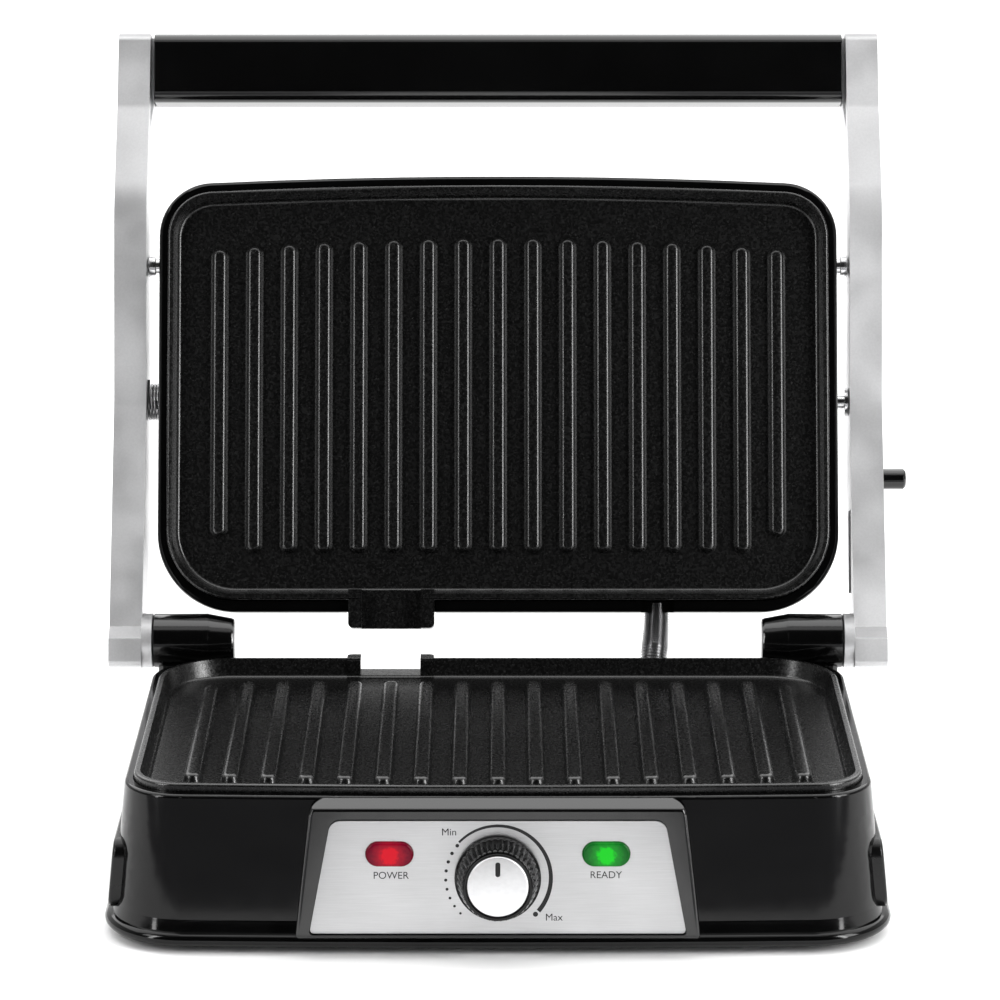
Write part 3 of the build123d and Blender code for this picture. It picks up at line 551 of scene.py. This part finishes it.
def as_mesh(curve_object):
    """The mesh that a curve or text makes; the curve's own object is thrown away."""
    bpy.context.scene.collection.objects.link(curve_object)
    bpy.context.view_layer.update()
    ready = curve_object.evaluated_get(bpy.context.evaluated_depsgraph_get())
    mesh = bpy.data.meshes.new_from_object(ready)
    bpy.data.objects.remove(curve_object)
    return mesh


def word(text, x, y):
    """A flat word centred on the panel at (x, y), made a mesh before it is put in place."""
    curve = bpy.data.curves.new(text, "FONT")
    curve.body = text
    curve.size = WORD_SIZE
    curve.align_x = "CENTER"
    curve.align_y = "CENTER"
    curve.resolution_u = 6
    letters = bpy.data.objects.new(text, curve)
    flat = as_mesh(letters)
    bm = bmesh.new()
    bm.from_mesh(flat)
    bmesh.ops.remove_doubles(bm, verts=bm.verts, dist=0.001 * MM)
    bmesh.ops.translate(bm, vec=(x, y, 0), verts=bm.verts)
    lay_ink(bm)
    return new_piece(bm, "word_" + text.lower(), "base", "dial_ink")


word("POWER", -37.3 * MM, 0.75 * MM)
word("READY", 37.7 * MM, 0.95 * MM)
word("Min", -17.0 * MM, 16.2 * MM)
word("Max", 19.6 * MM, -14.2 * MM)
print("words made")

# %% [markdown]
# ## The conduit's spring guard
# The lid's wires run in a short steel spring guard from the deck into the lid. The real guard bends
# when the lid moves; here it is one corrugated tube, laid to the open lid. A smooth curve gives its
# line, and circles placed along it swell and shrink once in every millimetre, which makes the rings
# of the spring.

# %% Spring guard
GUARD_R = 5.2 * MM
GROOVE = 0.9 * MM
RINGS = 37
STEPS = 4                    # circles for each ring of the spring
OPEN_TURN = math.radians(-108.76)
HINGE = Vector((0.0, 84.6 * MM, 61.95 * MM))


def opened(y, z):
    """A point of the shut lid, moved to where the open lid has it."""
    turn = Matrix.Rotation(OPEN_TURN, 3, "X")
    return HINGE + turn @ Vector((0.0, y * MM - HINGE.y, z * MM - HINGE.z))


def smooth_line(points, count):
    """Evenly spaced places on the NURBS curve through a route, read back from Blender."""
    curve = bpy.data.curves.new("line", "CURVE")
    curve.dimensions = "3D"
    spline = curve.splines.new("NURBS")
    spline.points.add(len(points) - 1)
    for slot_point, place in zip(spline.points, points):
        slot_point.co = (*place, 1.0)
    spline.order_u = 3
    spline.use_endpoint_u = True
    spline.resolution_u = 40
    mesh = as_mesh(bpy.data.objects.new("line", curve))
    walked = [v.co.copy() for v in mesh.vertices]
    lengths = [0.0]
    for a, b in zip(walked, walked[1:]):
        lengths.append(lengths[-1] + (b - a).length)
    places = []
    for step in range(count):
        goal = lengths[-1] * step / (count - 1)
        passed = (i for i, reached in enumerate(lengths) if reached >= goal)
        index = max(1, next(passed, len(lengths) - 1))
        part = (goal - lengths[index - 1]) / max(1e-9, lengths[index] - lengths[index - 1])
        places.append(walked[index - 1].lerp(walked[index], min(1.0, part)))
    return places, lengths[-1]


lid_end = opened(69.5, 70.5)
lid_end.x = 61.8 * MM
turns = [Vector(place) * MM for place in ((60.0, 84.5, 40.0), (60.0, 84.5, 52.0), (61.8, 93.6, 63.0))]
places, guard_length = smooth_line([*turns, lid_end], RINGS * STEPS + 1)
print("spring guard length, mm:", round(guard_length / MM, 1))


def corrugated(name, places, radius, deep, node):
    bm = bmesh.new()
    rings = []
    for index, place in enumerate(places):
        ahead = places[min(index + 1, len(places) - 1)] - places[max(index - 1, 0)]
        across = Vector((1, 0, 0))
        up = ahead.normalized()
        side = (across - up * across.dot(up)).normalized()
        turned = Matrix((side, up.cross(side), up)).transposed().to_4x4()
        wide = radius - deep * (0.5 + 0.5 * math.cos(math.tau * index / STEPS))
        ring = bmesh.ops.create_circle(bm, cap_ends=False, radius=wide, segments=28,
                                       matrix=Matrix.Translation(place) @ turned)["verts"]
        rings.append(list({e for v in ring for e in v.link_edges}))
    for low, high in zip(rings, rings[1:]):
        bmesh.ops.bridge_loops(bm, edges=low + high)
    bmesh.ops.holes_fill(bm, edges=rings[0] + rings[-1], sides=0)
    bmesh.ops.recalc_face_normals(bm, faces=bm.faces)
    set_edges(bm, 80)
    return new_piece(bm, name, None, "spring_steel", node)


guard = corrugated("conduit_guard", places, GUARD_R, GROOVE, "lid_conduit")
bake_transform(guard)

# %% [markdown]
# ## Floor and light
# A pale floor runs far back, so the press stands in front of nothing but light. One very large
# soft source hangs overhead, two tall strips draw the upright highlights on the corners, a soft
# box on the right lights the sides of the ribs, and two weak ones lift the arms. Polished black
# shows whatever lies in front of it, so two dark cards lie on the floor for it to mirror. The cards
# are seen only in reflections and throw no shadow.

# %% Floor
bm = bmesh.new()
bmesh.ops.create_grid(bm, x_segments=2, y_segments=2, size=9.0)
bmesh.ops.translate(bm, vec=(0, 2.0, -0.0002), verts=bm.verts)
mesh = bpy.data.meshes.new("floor")
bm.to_mesh(mesh)
bm.free()
floor = bpy.data.objects.new("floor", mesh)
bpy.context.scene.collection.objects.link(floor)
material, tree, shader = start_finish("pale_floor")
pale = colours(tree, grain(tree, 0.5), [(0.0, grey(0.90)), (1.0, grey(0.92))])
plug(tree, shader, Base_Color=pale, Roughness=0.9)
shader.inputs["Specular IOR Level"].default_value = 0.0
mesh.materials.append(material)
floor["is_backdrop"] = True
print("floor laid")

# %% Lights
def soft_box(name, place, aim, width, height, radiance):
    light = bpy.data.lights.new(name, "AREA")
    light.shape = "RECTANGLE"
    light.size, light.size_y = width, height
    light.energy = radiance * math.pi * width * height
    holder = bpy.data.objects.new(name, light)
    holder.location = place
    holder.rotation_euler = (Vector(aim) - Vector(place)).to_track_quat("-Z", "Y").to_euler()
    holder.visible_camera = False
    bpy.context.scene.collection.objects.link(holder)


soft_box("overhead", (0, 2.85, 3.0), (0, 2.85, 0), 8.0, 6.7, 2.5)
soft_box("left_corner_strip", (-0.60, -0.50, 0.31), (0, -0.05, 0.31), 0.07, 0.62, 12.0)
soft_box("right_corner_strip", (0.60, -0.50, 0.31), (0, -0.05, 0.31), 0.07, 0.62, 16.0)
soft_box("right_key", (1.00, -0.60, 0.62), (0, 0.10, 0.20), 0.45, 0.80, 9.0)
soft_box("high_fill", (0, -0.9, 2.6), (0, 0, 0.20), 2.2, 0.7, 1.0)
soft_box("left_fill", (-1.25, -0.85, 1.05), (0, 0.10, 0.20), 0.6, 0.7, 5.0)

# %% Dark cards
CARD_BACK, CARD_FRONT = -0.20, -1.26
CARD_HEIGHT = 0.001


def dark_card(name, low, high):
    """A card on the floor in front of the press, from low to high in X, seen only in reflections."""
    bm = bmesh.new()
    centre = Matrix.Translation(((low + high) / 2, (CARD_BACK + CARD_FRONT) / 2, CARD_HEIGHT))
    bmesh.ops.create_grid(bm, x_segments=1, y_segments=1, size=0.5,
                          matrix=centre @ Matrix.Diagonal((high - low, CARD_BACK - CARD_FRONT, 1.0, 1.0)))
    mesh = bpy.data.meshes.new(name)
    bm.to_mesh(mesh)
    bm.free()
    card = bpy.data.objects.new(name, mesh)
    mesh.materials.append(finishes["card_grey"])
    card.visible_camera = False
    card.visible_shadow = False
    card.visible_diffuse = False
    bpy.context.scene.collection.objects.link(card)
    card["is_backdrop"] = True


dark_card("left_card", -0.75, -0.080)
dark_card("right_card", 0.080, 0.75)
print("cards laid")

# %% World
world = bpy.data.worlds.new("studio")
bpy.context.scene.world = world
world.use_nodes = True
tree = world.node_tree
way = add_node(tree, "TexCoord")
split = add_node(tree, "SeparateXYZ", {"Vector": way.outputs["Generated"]})
backwards = add_node(tree, "MapRange", {"Value": split.outputs["Y"], "From Min": -0.6, "From Max": 0.9,
                                        "To Min": 0.02, "To Max": 0.95})
tree.links.new(backwards.outputs["Result"], tree.nodes["Background"].inputs["Color"])
bpy.context.scene.view_settings.view_transform = "Standard"
print("world brightens from front to back")

# %% Sizes, and the closing line
bpy.context.view_layer.update()
made_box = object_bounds()
for title, box in (("frame box", cad_box), ("made box", made_box)):
    print(title, [[round(v, 4) for v in corner] for corner in box])
